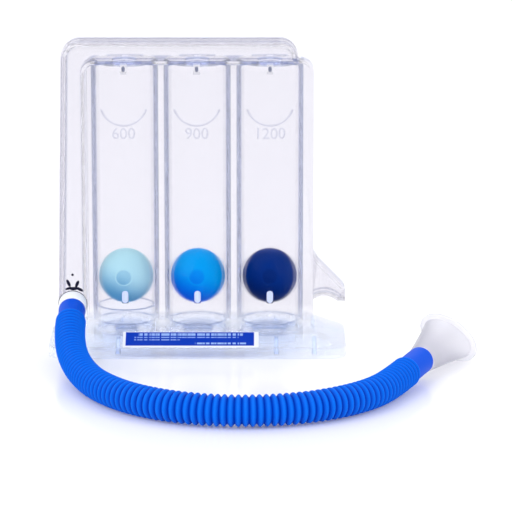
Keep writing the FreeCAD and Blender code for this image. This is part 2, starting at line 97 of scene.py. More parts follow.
# The fins in the base, in millimetres: their ends, their foot, their top and the slope over them.
FIN_INNER, FIN_OUTER = 19.5, 28.6
FIN_FOOT, FIN_TOP = 1.9, 7.8
FIN_SLOPE = 0.47

# The ball's gate mark, from its pole: a disc of painted shade and the ring round it, which gets a
# painted highlight.
GATE_DISC = 3.0 * MM
GATE_RING = 3.9 * MM

# The camera that was fitted to the photograph.
CAMERA_PLACE = (0.0271, -1.4627, 0.3751)
CAMERA_DOWN = math.radians(12.8)
CAMERA_LENS = 226.3

# Light passes many clear walls one behind another before it comes out again.
BOUNCES = 48

# The hose's route, from the cuff at the spigot to the cuff at the mouthpiece, in metres.
HOSE_ROUTE = (
    (-0.0579, -0.0288, 0.01762),
    (-0.0579, -0.0445, 0.01428),
    (-0.0547, -0.0680, 0.00940),
    (-0.0467, -0.0935, 0.00705),
    (-0.0360, -0.1135, 0.00705),
    (-0.0235, -0.1278, 0.00705),
    (-0.0078, -0.1382, 0.00705),
    (0.0103, -0.1439, 0.00705),
    (0.0292, -0.1444, 0.00705),
    (0.0474, -0.1398, 0.00705),
    (0.0638, -0.1304, 0.00705),
    (0.0772, -0.1170, 0.00705),
    (0.0864, -0.1002, 0.00705),
    (0.0939, -0.0826, 0.00798),
)


# Sizes and colours that a user would change

class BodySettings(bpy.types.PropertyGroup):
    tint: bpy.props.StringProperty(
        name="Tint", description="Clear plastic seen face on, as sRGB hex", default="ECEBEF")
    # The edge tint is a painted shade for the dark refraction at the clear walls' edges.
    edge_shade_tint: bpy.props.StringProperty(
        name="Edge tint", description="Clear plastic seen edge on, as sRGB hex", default="868FB2")
    # The foot tint is also the colour of a painted glow in the thin base.
    foot_tint_and_glow: bpy.props.StringProperty(
        name="Foot tint", description="The thin base, which gathers blue light, as sRGB hex",
        default="DDE8FC")
    # The tray tint is a painted shade where the tray is seen edge on.
    tray_edge_shade: bpy.props.StringProperty(
        name="Tray tint", description="The base tray seen edge on, as sRGB hex", default="B4C4EC")
    mark_tint: bpy.props.StringProperty(
        name="Mark tint", description="The moulded marks, as sRGB hex", default="DDE0EC")
    chamber_radius: bpy.props.FloatProperty(
        name="Chamber radius", description="Outside of a chamber", default=CHAMBER_RADIUS,
        unit="LENGTH")
    chamber_pitch: bpy.props.FloatProperty(
        name="Chamber pitch", description="From one chamber's axis to the next", default=CHAMBER_PITCH,
        unit="LENGTH")
    mark_relief: bpy.props.FloatProperty(
        name="Mark relief", description="How far the moulded marks stand out", default=0.35 * MM,
        unit="LENGTH")


class BallSettings(bpy.types.PropertyGroup):
    # Each ball's deep colour is a painted shade for its underside.
    left: bpy.props.StringProperty(
        name="Left", description="Left ball, as sRGB hex", default="C4F6FF")
    left_painted_shade: bpy.props.StringProperty(
        name="Left deep", description="The left ball's underside, as sRGB hex", default="62B2DC")
    middle: bpy.props.StringProperty(
        name="Middle", description="Middle ball, as sRGB hex", default="00ACFF")
    middle_painted_shade: bpy.props.StringProperty(
        name="Middle deep", description="The middle ball's underside, as sRGB hex", default="006CF4")
    right: bpy.props.StringProperty(
        name="Right", description="Right ball, as sRGB hex", default="003084")
    right_painted_shade: bpy.props.StringProperty(
        name="Right deep", description="The right ball's underside, as sRGB hex", default="002064")
    seam: bpy.props.FloatProperty(
        name="Seam", description="Height of the moulding seam", default=0.06 * MM, unit="LENGTH")


class HoseSettings(bpy.types.PropertyGroup):
    colour: bpy.props.StringProperty(
        name="Colour", description="Hose, as sRGB hex", default="006CE6")
    cuff_colour: bpy.props.StringProperty(
        name="Cuff colour", description="Smooth cuffs, as sRGB hex", default="0052D8")
    # The groove colour is a painted shade between the corrugations.
    groove_shade_colour: bpy.props.StringProperty(
        name="Groove colour", description="The hose between two corrugations, as sRGB hex",
        default="0038B4")
    radius: bpy.props.FloatProperty(
        name="Radius", description="Outside of the corrugations", default=7.0 * MM, unit="LENGTH")
    groove: bpy.props.FloatProperty(
        name="Groove", description="Depth between two corrugations", default=1.35 * MM, unit="LENGTH")
    pitch: bpy.props.FloatProperty(
        name="Pitch", description="From one corrugation to the next", default=3.0 * MM, unit="LENGTH")


class StageSettings(bpy.types.PropertyGroup):
    floor: bpy.props.StringProperty(
        name="Floor", description="Floor, as sRGB hex", default="FAFAFB")
    sky: bpy.props.StringProperty(
        name="Sky", description="Light round the object, as sRGB hex", default="F6F6FA")


# Help for materials

def linear(code):
    """An sRGB hex colour as linear RGBA."""
    parts = [int(code[i:i + 2], 16) / 255 for i in (0, 2, 4)]
    return [p / 12.92 if p <= 0.04045 else ((p + 0.055) / 1.055) ** 2.4 for p in parts] + [1.0]


def add(tree, kind, settings=None, links=None):
    """Adds a node. Lower-case settings are its fields and the others its inputs."""
    made = tree.nodes.new(kind)
    for key, setting in (settings or {}).items():
        if isinstance(key, str) and key.islower():
            setattr(made, key, setting)
        else:
            made.inputs[key].default_value = setting
    for key, source in (links or {}).items():
        tree.links.new(source, made.inputs[key])
    return made


def blank(name):
    """A material with an empty node tree, and that tree."""
    material = bpy.data.materials.new(name)
    material.use_nodes = True
    material.node_tree.nodes.clear()
    return material, material.node_tree


def close(tree, shader):
    """Ends the tree in the shader."""
    add(tree, "ShaderNodeOutputMaterial", {}, {"Surface": shader.outputs[0]})


def height_bands(tree, height, bands):
    """A mask that is 1 where the height lies within one of the bands, each a middle and half a
    width, in millimetres."""
    mask = None
    for middle, half in bands:
        inside = add(tree, "ShaderNodeMath", {"operation": "COMPARE", 1: middle * MM, 2: half * MM},
                     {0: height})
        if mask:
            inside = add(tree, "ShaderNodeMath", {"operation": "MAXIMUM"},
                         {0: mask.outputs[0], 1: inside.outputs[0]})
        mask = inside
    return mask


def chamber_reach(tree, parts):
    """How far a spot is from the nearest chamber's axis, and very far beside the outer chambers."""
    across = add(tree, "ShaderNodeMath", {"operation": "PINGPONG", 1: CHAMBER_PITCH / 2},
                 {0: parts.outputs[0]})
    away = add(tree, "ShaderNodeMath", {"operation": "ABSOLUTE"}, {0: parts.outputs[0]})
    beside = add(tree, "ShaderNodeMath", {"operation": "GREATER_THAN", 1: CHAMBERS_SIDE},
                 {0: away.outputs[0]})
    pushed = add(tree, "ShaderNodeMath", {"operation": "ADD"},
                 {0: across.outputs[0], 1: beside.outputs[0]})
    flat = add(tree, "ShaderNodeCombineXYZ", {}, {0: pushed.outputs[0], 1: parts.outputs[1]})
    return add(tree, "ShaderNodeVectorMath", {"operation": "LENGTH"}, {0: flat.outputs[0]})


def clear_polystyrene(name, code, edge_shade_code, cover, painted_glow=0.0, foot=None, ledge_shades=None):
    """Crystal polystyrene from a polished mould: clear, with faint waves where it flowed. Where it is
    seen edge on it takes a bluish painted shade, which stands in for the dark refraction at its edges.
    The foot has its own tint and cover and a painted glow, and the ledges are bands of painted
    shade: a tint and the heights where it lies."""
    material, tree = blank(name)
    spot = add(tree, "ShaderNodeTexCoord")
    parts = add(tree, "ShaderNodeSeparateXYZ", {}, {"Vector": spot.outputs["Object"]})
    flow = add(tree, "ShaderNodeTexNoise", {"Scale": 1 / (22 * MM), "Detail": 1.0},
               {"Vector": spot.outputs["Object"]})
    wave = add(tree, "ShaderNodeBump", {"Strength": 0.12, "Distance": 0.3 * MM},
               {"Height": flow.outputs[0]})
    # Painted shade: the tint darkens to the edge tint where the surface is seen edge on.
    slant = add(tree, "ShaderNodeLayerWeight", {"Blend": 0.35})
    edge = add(tree, "ShaderNodeMapRange",
               {"interpolation_type": "SMOOTHSTEP", 1: EDGE_FROM, 2: EDGE_FULL, 3: 0.0, 4: 1.0},
               {0: slant.outputs["Facing"]})
    # The painted edge shade is left out inside the chambers' bores, eased beside the outer chambers and
    # halved above the ceilings.
    reach = chamber_reach(tree, parts)
    bore = add(tree, "ShaderNodeMath", {"operation": "GREATER_THAN", 1: BORE_REACH},
               {0: reach.outputs["Value"]})
    beside = add(tree, "ShaderNodeMath", {"operation": "GREATER_THAN", 1: FAR},
                 {0: reach.outputs["Value"]})
    eased = add(tree, "ShaderNodeMath", {"operation": "MULTIPLY_ADD", 1: BESIDE_SHARE - 1},
                {0: beside.outputs[0], 2: bore.outputs[0]})
    roof = add(tree, "ShaderNodeMapRange", {1: ROOF_HEIGHT, 2: ROOF_HEIGHT + MM, 3: 0.0, 4: 1.0},
               {0: parts.outputs[2]})
    outside = add(tree, "ShaderNodeMix", {"data_type": "FLOAT", 3: ROOF_SHARE},
                  {0: roof.outputs[0], 2: eased.outputs[0]})
    edge_shade = add(tree, "ShaderNodeMath", {"operation": "MULTIPLY"},
                {0: edge.outputs[0], 1: outside.outputs[0]})
    tint = add(tree, "ShaderNodeMix", {"data_type": "RGBA", 6: linear(code), 7: linear(edge_shade_code)},
               {0: edge_shade.outputs[0]})
    skin = add(tree, "ShaderNodeBsdfPrincipled",
               {"Roughness": 0.03, "IOR": 1.12, "Transmission Weight": 1.0, "Alpha": cover,
                "Emission Color": linear(code), "Emission Strength": painted_glow},
               {"Base Color": tint.outputs[2], "Normal": wave.outputs[0]})
    # The foot: below the glow top it takes the foot tint and a painted glow, and below the foot top the
    # foot's cover.
    if foot:
        foot_code, foot_cover, foot_painted_glow = foot
        heights = {1: FOOT_TOP, 2: FOOT_TOP + FOOT_BLEND}
        glow_heights = {1: GLOW_TOP, 2: FOOT_TOP}
        rise = add(tree, "ShaderNodeMapRange", {**glow_heights, 3: 0.0, 4: 1.0}, {0: parts.outputs[2]})
        plain = add(tree, "ShaderNodeMix", {"data_type": "RGBA", 6: linear(foot_code), 7: linear(code)},
                    {0: rise.outputs[0]})
        body = add(tree, "ShaderNodeMapRange", {**heights, 3: foot_cover, 4: cover},
                   {0: parts.outputs[2]})
        painted_glow_strength = add(tree, "ShaderNodeMapRange", {**glow_heights, 3: foot_painted_glow, 4: painted_glow},
                       {0: parts.outputs[2]})
        tree.links.new(plain.outputs[2], tint.inputs[6])
        tree.links.new(body.outputs[0], skin.inputs["Alpha"])
        tree.links.new(painted_glow_strength.outputs[0], skin.inputs["Emission Strength"])
        skin.inputs["Emission Color"].default_value = linear(foot_code)
    # Ledges: bands of painted shade at the given heights within the chambers' reach. There the cover is
    # raised to full.
    if ledge_shades:
        ledge_shade_code, bands = ledge_shades
        mask = height_bands(tree, parts.outputs[2], bands)
        inside = add(tree, "ShaderNodeMath", {"operation": "LESS_THAN", 1: LEDGE_REACH},
                     {0: reach.outputs["Value"]})
        mask = add(tree, "ShaderNodeMath", {"operation": "MULTIPLY"},
                   {0: mask.outputs[0], 1: inside.outputs[0]})
        ledge_shaded = add(tree, "ShaderNodeMix", {"data_type": "RGBA", 7: linear(ledge_shade_code)},
                    {0: mask.outputs[0], 6: tint.outputs[2]})
        dense = add(tree, "ShaderNodeMath", {"operation": "MAXIMUM", 1: cover}, {0: mask.outputs[0]})
        tree.links.new(ledge_shaded.outputs[2], skin.inputs["Base Color"])
        if foot:
            tree.links.new(body.outputs[0], dense.inputs[1])
        tree.links.new(dense.outputs[0], skin.inputs["Alpha"])
    close(tree, skin)
    return material


def ball_polypropylene(name, code, underside_shade_code, centre, radius, pole):
    """Moulded polypropylene, a thin shell with a soft gloss, a fine tumbled grain and a round gate mark
    at one pole. Its colour is painted light and shade: lighter towards a light from above, a painted
    shade colour underneath and a painted glow, and at the gate a disc of painted shade with a painted
    highlight round it."""
    material, tree = blank(name)
    spot = add(tree, "ShaderNodeTexCoord")
    grain = add(tree, "ShaderNodeTexNoise", {"Scale": 1 / (0.9 * MM), "Detail": 3.0},
                {"Vector": spot.outputs["Object"]})
    pits = add(tree, "ShaderNodeBump", {"Strength": 0.08, "Distance": 0.05 * MM},
               {"Height": grain.outputs[0]})
    # Painted light and shade: the colour goes from the painted shade colour underneath to the lit
    # colour towards this light from above.
    light = Vector((0.38, 0.0, 0.92))
    height = add(tree, "ShaderNodeVectorMath", {"operation": "DOT_PRODUCT", 1: light},
                 {0: spot.outputs["Object"]})
    middle = centre.dot(light)
    lit_share = add(tree, "ShaderNodeMapRange",
                {"interpolation_type": "SMOOTHSTEP", 1: middle - 0.85 * radius,
                 2: middle + 0.4 * radius, 3: 0.0, 4: 1.0}, {0: height.outputs["Value"]})
    away = add(tree, "ShaderNodeVectorMath", {"operation": "DISTANCE", 1: centre + pole * radius},
               {0: spot.outputs["Object"]})
    gate_shade = add(tree, "ShaderNodeMapRange", {1: GATE_DISC, 2: GATE_RING - 0.1 * MM, 3: 0.35, 4: 0.0},
               {0: away.outputs["Value"]})
    shaded = add(tree, "ShaderNodeMath", {"operation": "SUBTRACT"},
                 {0: lit_share.outputs[0], 1: gate_shade.outputs[0]})
    # A painted highlight on the gate's ring.
    rim = add(tree, "ShaderNodeMath", {"operation": "COMPARE", 1: GATE_RING, 2: 0.2 * MM},
              {0: away.outputs["Value"]})
    ring_highlighted = add(tree, "ShaderNodeMath", {"operation": "MULTIPLY_ADD", "use_clamp": True, 1: 0.35},
                 {0: rim.outputs[0], 2: shaded.outputs[0]})
    shade = add(tree, "ShaderNodeMix", {"data_type": "RGBA", 6: linear(underside_shade_code), 7: linear(code)},
                {0: ring_highlighted.outputs[0]})
    # The emission is a painted glow in the painted light and shade colour.
    skin = add(tree, "ShaderNodeBsdfPrincipled",
               {"Roughness": 0.4, "IOR": 1.49, "Specular IOR Level": 0.05, "Emission Strength": 0.12},
               {"Base Color": shade.outputs[2], "Emission Color": shade.outputs[2],
                "Normal": pits.outputs[0]})
    close(tree, skin)
    return material


def hose_polyethylene(name, code, groove_shade_code=None):
    """Blown polyethylene: azure with a waxy gloss, and a painted shade that makes it deeper in the
    grooves. The crest attribute is 1 on a crest and 0 in a groove. A cuff has no grooves."""
    material, tree = blank(name)
    spot = add(tree, "ShaderNodeTexCoord")
    skinning = add(tree, "ShaderNodeTexNoise", {"Scale": 1 / (2.5 * MM), "Detail": 2.0},
                   {"Vector": spot.outputs["Object"]})
    wax = add(tree, "ShaderNodeBump", {"Strength": 0.1, "Distance": 0.08 * MM},
              {"Height": skinning.outputs[0]})
    skin = add(tree, "ShaderNodeBsdfPrincipled",
               {"Base Color": linear(code), "Roughness": 0.45, "IOR": 1.5, "Specular IOR Level": 0.06},
               {"Normal": wax.outputs[0]})
    # Painted shade: the colour deepens from the crests into the grooves.
    if groove_shade_code:
        crest = add(tree, "ShaderNodeAttribute", {"attribute_name": "crest"})
        blue = add(tree, "ShaderNodeMix",
                   {"data_type": "RGBA", 6: linear(groove_shade_code), 7: linear(code)},
                   {0: crest.outputs["Fac"]})
        tree.links.new(blue.outputs[2], skin.inputs["Base Color"])
    close(tree, skin)
    return material


def weld_shade(name, code):
    """The dark line that clear polystyrene shows where a thick rib meets a wall and no light comes
    through, with the slight sink of a thick place in a moulding."""
    material, tree = blank(name)
    spot = add(tree, "ShaderNodeTexCoord")
    grain = add(tree, "ShaderNodeTexNoise", {"Scale": 1 / (0.5 * MM), "Detail": 2.0},
                {"Vector": spot.outputs["Object"]})
    sink = add(tree, "ShaderNodeBump", {"Strength": 0.2, "Distance": 0.1 * MM},
               {"Height": grain.outputs[0]})
    skin = add(tree, "ShaderNodeBsdfPrincipled",
               {"Base Color": linear(code), "Roughness": 0.25, "IOR": 1.3, "Specular IOR Level": 0.2},
               {"Normal": sink.outputs[0]})
    close(tree, skin)
    return material


def frosted_polyethylene(name, code, clearness, painted_glow=0.0, cover=1.0, edge_shade_code=None):
    """Low-density polyethylene, or polystyrene from a matt mould: milky, lets light through and
    scatters it. A glow is painted light, and an edge colour is a painted shade where it is seen edge
    on."""
    material, tree = blank(name)
    spot = add(tree, "ShaderNodeTexCoord")
    cloud = add(tree, "ShaderNodeTexNoise", {"Scale": 1 / (1.2 * MM), "Detail": 3.0},
                {"Vector": spot.outputs["Object"]})
    frost = add(tree, "ShaderNodeBump", {"Strength": 0.15, "Distance": 0.1 * MM},
                {"Height": cloud.outputs[0]})
    skin = add(tree, "ShaderNodeBsdfPrincipled",
               {"Base Color": linear(code), "Roughness": 0.3, "IOR": 1.25,
                "Transmission Weight": clearness, "Alpha": cover, "Emission Color": linear(code),
                "Emission Strength": painted_glow},
               {"Normal": frost.outputs[0]})
    # Painted shade: the colour darkens to the edge colour where the surface is seen edge on.
    if edge_shade_code:
        slant = add(tree, "ShaderNodeLayerWeight", {"Blend": 0.35})
        edge = add(tree, "ShaderNodeMapRange", {1: 0.35, 2: 0.6, 3: 0.0, 4: 1.0},
                   {0: slant.outputs["Facing"]})
        tint = add(tree, "ShaderNodeMix", {"data_type": "RGBA", 6: linear(code), 7: linear(edge_shade_code)},
                   {0: edge.outputs[0]})
        tree.links.new(tint.outputs[2], skin.inputs["Base Color"])
    close(tree, skin)
    return material


def printed_film(name, low, high):
    """Vinyl film printed deep blue, with a white border that is wider at the right and four broken
    pale rules of uneven length. The rules are given in millimetres from the film's middle: their
    ends, their height and half their thickness."""
    material, tree = blank(name)
    spot = add(tree, "ShaderNodeTexCoord")
    parts = add(tree, "ShaderNodeSeparateXYZ", {}, {"Vector": spot.outputs["Object"]})
    left, right, below, above = 1.3 * MM, 2.1 * MM, 1.0 * MM, 0.4 * MM
    dashes = add(tree, "ShaderNodeTexNoise",
                 {"noise_dimensions": "1D", "Scale": 1 / (1.1 * MM), "Detail": 2.0},
                 {"W": parts.outputs[0]})
    broken = add(tree, "ShaderNodeMath", {"operation": "GREATER_THAN", 1: 0.44},
                 {0: dashes.outputs[0]})

    def within(x0, x1, y0, y1):
        """1 inside the rectangle, which is given from the film's middle."""
        sides = []
        for axis, a, b in ((0, x0, x1), (1, y0, y1)):
            middle = (low[axis] + high[axis]) / 2 + (a + b) / 2
            sides.append(add(tree, "ShaderNodeMath",
                             {"operation": "COMPARE", 1: middle, 2: (b - a) / 2},
                             {0: parts.outputs[axis]}))
        return add(tree, "ShaderNodeMath", {"operation": "MULTIPLY"},
                   {0: sides[0].outputs[0], 1: sides[1].outputs[0]})

    half_x, half_y = (high[0] - low[0]) / 2, (high[1] - low[1]) / 2
    field = within(left - half_x, half_x - right, below - half_y, half_y - above)
    rules = None
    for x0, x1, y, half in (
        (-24.0, 24.0, 3.2, 0.75),
        (-26.0, 22.0, 1.3, 0.3),
        (-26.0, -5.0, -0.3, 0.3),
        (2.0, 25.5, -2.6, 0.55),
    ):
        rule = within(x0 * MM, x1 * MM, (y - half) * MM, (y + half) * MM)
        if rules:
            rule = add(tree, "ShaderNodeMath", {"operation": "MAXIMUM"},
                       {0: rules.outputs[0], 1: rule.outputs[0]})
        rules = rule
    ruled = add(tree, "ShaderNodeMath", {"operation": "MULTIPLY"},
                {0: rules.outputs[0], 1: broken.outputs[0]})
    print_ink = add(tree, "ShaderNodeMix",
                    {"data_type": "RGBA", 6: linear("0238B4"), 7: linear("9CBCF0")},
                    {0: ruled.outputs[0]})
    ink = add(tree, "ShaderNodeMix", {"data_type": "RGBA", 6: linear("F2F5FC")},
              {0: field.outputs[0], 7: print_ink.outputs[2]})
    skin = add(tree, "ShaderNodeBsdfPrincipled",
               {"Roughness": 0.4, "IOR": 1.5, "Specular IOR Level": 0.2},
               {"Base Color": ink.outputs[2]})
    close(tree, skin)
    return material


# Help for meshes

def show(name, build, material, body, replaced=()):
    """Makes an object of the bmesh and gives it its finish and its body."""
    mesh = bpy.data.meshes.new(name)
    build.to_mesh(mesh)
    build.free()
    mesh.materials.append(material)
    piece = bpy.data.objects.new(name, mesh)
    bpy.context.scene.collection.objects.link(piece)
    for face in mesh.polygons:
        face.use_smooth = True
    mesh.set_sharp_from_angle(angle=math.radians(32))
    if replaced:
        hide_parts(*replaced)
    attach(piece, body)
    return piece


def dress(node, material):
    """A CAD node whose shape is right gets its finish."""
    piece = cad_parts[node]
    piece.data.materials.clear()
    piece.data.materials.append(material)
    return piece


def merged(node):
    """A copy of a CAD node's mesh with its triangles joined."""
    build = bmesh.new()
    build.from_mesh(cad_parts[node].data)
    bmesh.ops.remove_doubles(build, verts=build.verts, dist=0.002 * MM)
    return build


def wrap(build, radius, x):
    """Bends a flat drawing, in X and Z with its relief along -Y, round a chamber's front."""
    for vert in build.verts:
        angle = vert.co.x / radius
        reach = radius - vert.co.y
        vert.co = Vector((x + reach * math.sin(angle), -reach * math.cos(angle), vert.co.z))


# Pieces

class SPIROMETER_OT_stage(bpy.types.Operator):
    """Camera, floor and soft light"""
    bl_idname = "spirometer.stage"
    bl_label = "Stage"

    def execute(self, context):
        settings = context.scene.spirometer_stage
        camera_data = bpy.data.cameras.new("camera")
        camera_data.sensor_width = 36.0
        camera_data.lens = CAMERA_LENS
        camera = bpy.data.objects.new("camera", camera_data)
        camera.location = CAMERA_PLACE
        camera.rotation_euler = (math.pi / 2 - CAMERA_DOWN, 0, 0)
        context.scene.collection.objects.link(camera)
        context.scene.camera = camera
        context.scene.view_settings.view_transform = "Standard"
        context.scene.cycles.max_bounces = BOUNCES
        context.scene.cycles.transmission_bounces = BOUNCES
        context.scene.cycles.transparent_max_bounces = BOUNCES

        material, tree = blank("sweep_paper")
        paper = add(tree, "ShaderNodeBsdfPrincipled",
                    {"Base Color": linear(settings.floor), "Roughness": 0.16, "IOR": 1.6,
                     "Emission Color": linear(settings.floor), "Emission Strength": 0.1})
        close(tree, paper)
        build = bmesh.new()
        bmesh.ops.create_grid(build, x_segments=1, y_segments=1, size=6.0)
        mesh = bpy.data.meshes.new("floor")
        build.to_mesh(mesh)
        build.free()
        mesh.materials.append(material)
        floor = bpy.data.objects.new("floor", mesh)
        floor.location.z = -0.0001
        context.scene.collection.objects.link(floor)

        world = bpy.data.worlds.new("studio")
        world.use_nodes = True
        context.scene.world = world
        backdrop = world.node_tree.nodes["Background"]
        backdrop.inputs["Color"].default_value = linear(settings.sky)
        backdrop.inputs["Strength"].default_value = 1.0
        for name, place, size, power in (
            ("softbox_left", (-0.9, -0.8, 1.1), 0.9, 6.0),
            ("softbox_right", (1.0, -0.5, 0.9), 0.7, 2.5),
            ("softbox_back", (0.0, 1.2, 1.3), 1.4, 5.0),
            ("softbox_front", (0.1, -1.7, 0.45), 1.2, 4.0),
        ):
            light = bpy.data.lights.new(name, "AREA")
            light.size = size
            light.energy = power
            lamp = bpy.data.objects.new(name, light)
            lamp.location = place
            towards = Vector((0, 0, 0.07)) - Vector(place)
            lamp.rotation_euler = towards.to_track_quat("-Z", "Y").to_euler()
            context.scene.collection.objects.link(lamp)
        return {"FINISHED"}


class SPIROMETER_OT_body(bpy.types.Operator):
    """Both clear shells and the base tray"""
    bl_idname = "spirometer.body"
    bl_label = "Clear body"

    def execute(self, context):
        settings = context.scene.spirometer_body
        # Each ledge is a band of painted shade, given as a height and half a thickness in millimetres:
        # the chambers' ceilings above, and below them the metering plates, the two lower collars' tops
        # and the left collar's top.
        ceiling_shade = ("94A0CC", [(134.0, 0.7)])
        ledge_shades = ("AEB6CC", [(7.2, 0.8), (11.8, 0.25), (18.8, 0.25)])
        # Both materials give the base a painted glow in the foot tint.
        clear = clear_polystyrene("polystyrene_clear_moulded", settings.tint, settings.edge_shade_tint, 0.8,
                                  foot=(settings.foot_tint_and_glow, 0.25, 0.07), ledge_shades=ceiling_shade)
        thin = clear_polystyrene("polystyrene_clear_tray", settings.foot_tint_and_glow, settings.tray_edge_shade, 0.16,
                                 painted_glow=0.05, ledge_shades=ledge_shades)
        dress("front_shell", clear)
        dress("rear_shell", clear)
        dress("base_tray", thin)
        return {"FINISHED"}


class SPIROMETER_OT_fins(bpy.types.Operator):
    """The upright fins inside the base, behind its front and back slopes"""
    bl_idname = "spirometer.fins"
    bl_label = "Base fins"

    def execute(self, context):
        settings = context.scene.spirometer_body
        # The fins take the foot tint with a painted glow, and the painted edge shade.
        thin = clear_polystyrene("polystyrene_clear_fins", settings.foot_tint_and_glow, settings.tray_edge_shade, 0.7,
                                 painted_glow=0.04)
        places = (("far_left", -54.0), ("left", -36.5), ("right", 36.5), ("far_right", 54.0))
        for end, facing in (("front", -1), ("rear", 1)):
            for place, x in places:
                build = bmesh.new()
                bmesh.ops.create_cube(build, size=1.0)
                for vert in build.verts:
                    # The top follows the underside of the slope, and each fin narrows towards it.
                    upper = vert.co.z > 0
                    half = math.copysign(0.7 if upper else 1.0, vert.co.x)
                    reach = FIN_OUTER if vert.co.y > 0 else FIN_INNER
                    top = FIN_TOP - (reach - FIN_INNER) * FIN_SLOPE
                    vert.co = Vector((x + half, facing * reach, top if upper else FIN_FOOT)) * MM
                bmesh.ops.bevel(build, geom=build.edges[:], offset=0.2 * MM, segments=2, profile=0.5,
                                affect="EDGES", material=-1)
                bmesh.ops.recalc_face_normals(build, faces=build.faces)
                show("fin_%s_%s" % (end, place), build, thin, HOUSING)
        return {"FINISHED"}


class SPIROMETER_OT_pegs(bpy.types.Operator):
    """The rounded faces of the ball rests, with a painted glow, and of the stops, in a dark painted
    shade
    """
    bl_idname = "spirometer.pegs"
    bl_label = "Ball rests and stops"

    def execute(self, context):
        settings = context.scene.spirometer_body
        # The rests get a painted glow, and the stops a dark painted shade in place of the refraction
        # that darkens them.
        milky_painted_glow = frosted_polyethylene("polystyrene_peg_face", "E2ECFF", 0.15, 0.2)
        stop_peg_shade = clear_polystyrene("polystyrene_shaded_edge", "8A90A4", "2C3140", 1.0)
        for step, side in enumerate(SIDES, start=-1):
            x = step * settings.chamber_pitch
            for name, z, width, height, material in (
                ("rest", 25.2, 1.45, 2.9, milky_painted_glow),
                ("stop", 131.9, 0.8, 1.2, stop_peg_shade),
            ):
                build = bmesh.new()
                bmesh.ops.create_uvsphere(build, u_segments=24, v_segments=16, radius=MM)
                for vert in build.verts:
                    # The ends stay round and the sides become straight.
                    if abs(vert.co.z) > 1e-7:
                        vert.co.z += math.copysign(height / width * MM - MM, vert.co.z)
                bmesh.ops.scale(build, vec=(width, 0.5, width), verts=build.verts)
                bmesh.ops.translate(build, vec=(x, PEG_FRONT, z * MM), verts=build.verts)
                show("%s_peg_%s" % (name, side), build, material, HOUSING)
        return {"FINISHED"}


class SPIROMETER_OT_port(bpy.types.Operator):
    """The white sleeve on the spigot's boss, with a painted glow, and dark shapes of painted shade for
    the gussets and weld line over it
    """
    bl_idname = "spirometer.port"
    bl_label = "Hose port"

    def execute(self, context):
        # The sleeve gets a painted glow.
        white = frosted_polyethylene("polystyrene_sleeve_white", "EEF2F8", 0.1, 0.12)
        shade = weld_shade("polystyrene_weld_shade", "12142C")
        root = Matrix.Translation(BOSS_ROOT) @ Matrix.Rotation(BOSS_TILT, 4, "X")
        upright = Matrix.Rotation(math.radians(90), 4, "X")

        def along(distance):
            """The place this far out along the boss, in millimetres, facing out."""
            return root @ Matrix.Translation((0, -distance * MM, 0)) @ upright

        build = bmesh.new()
        previous = None
        profile = ((6.34, 0.05), (6.5, 0.2), (6.5, 6.8), (6.36, 7.1), (6.2, 7.15), (6.2, 0.05))
        for radius, distance in profile:
            ring = bmesh.ops.create_circle(build, segments=64, radius=radius * MM,
                                           matrix=along(distance))["verts"]
            edges = list({edge for vert in ring for edge in vert.link_edges})
            if previous:
                bmesh.ops.bridge_loops(build, edges=previous + edges)
            else:
                first = edges
            previous = edges
        bmesh.ops.bridge_loops(build, edges=previous + first)
        bmesh.ops.recalc_face_normals(build, faces=build.faces)
        show("boss_sleeve", build, white, HOUSING)
        # Dark shapes of painted shade, where the gussets, the weld and the gate show dark in the clear
        # plastic.
        for name, across, height, wide, tall, lean in (
            ("gusset_shade_left", -1.9, 31.2, 0.75, 1.9, -24),
            ("gusset_shade_right", 2.1, 30.8, 0.75, 1.8, 24),
            ("weld_shade_left", -1.9, 28.7, 1.6, 0.6, -18),
            ("weld_shade_right", 3.2, 28.3, 1.9, 0.7, 30),
            ("weld_shade_middle", 0.4, 28.6, 2.0, 0.8, 0),
            ("gate_shade_mark", 0.0, 35.2, 0.6, 0.6, 0),
        ):
            build = bmesh.new()
            bmesh.ops.create_uvsphere(build, u_segments=24, v_segments=16, radius=MM)
            bmesh.ops.scale(build, vec=(wide, 0.35, tall), verts=build.verts)
            bmesh.ops.rotate(build, cent=(0, 0, 0), matrix=Matrix.Rotation(math.radians(lean), 3, "Y"),
                             verts=build.verts)
            place = Vector((BOSS_ROOT.x + across * MM, BOSS_ROOT.y - 0.1 * MM, height * MM))
            bmesh.ops.translate(build, vec=place, verts=build.verts)
            show("port_" + name, build, shade, HOUSING)
        # A thin dark ring of painted shade round the sleeve's root.
        build = bmesh.new()
        edge = (BOSS_EDGE, 0, 0)
        circle = bmesh.ops.create_circle(build, segments=8, radius=0.16 * MM,
                                         matrix=Matrix.Translation(edge))["verts"]
        bmesh.ops.rotate(build, cent=edge, matrix=upright.to_3x3(), verts=circle)
        bmesh.ops.spin(build, geom=list(build.verts) + list(build.edges), cent=(0, 0, 0),
                       axis=(0, 0, 1), angle=2 * math.pi, steps=64, use_merge=True)
        bmesh.ops.transform(build, matrix=along(0.15), verts=build.verts)
        bmesh.ops.recalc_face_normals(build, faces=build.faces)
        show("port_sleeve_shade_line", build, shade, HOUSING)
        return {"FINISHED"}


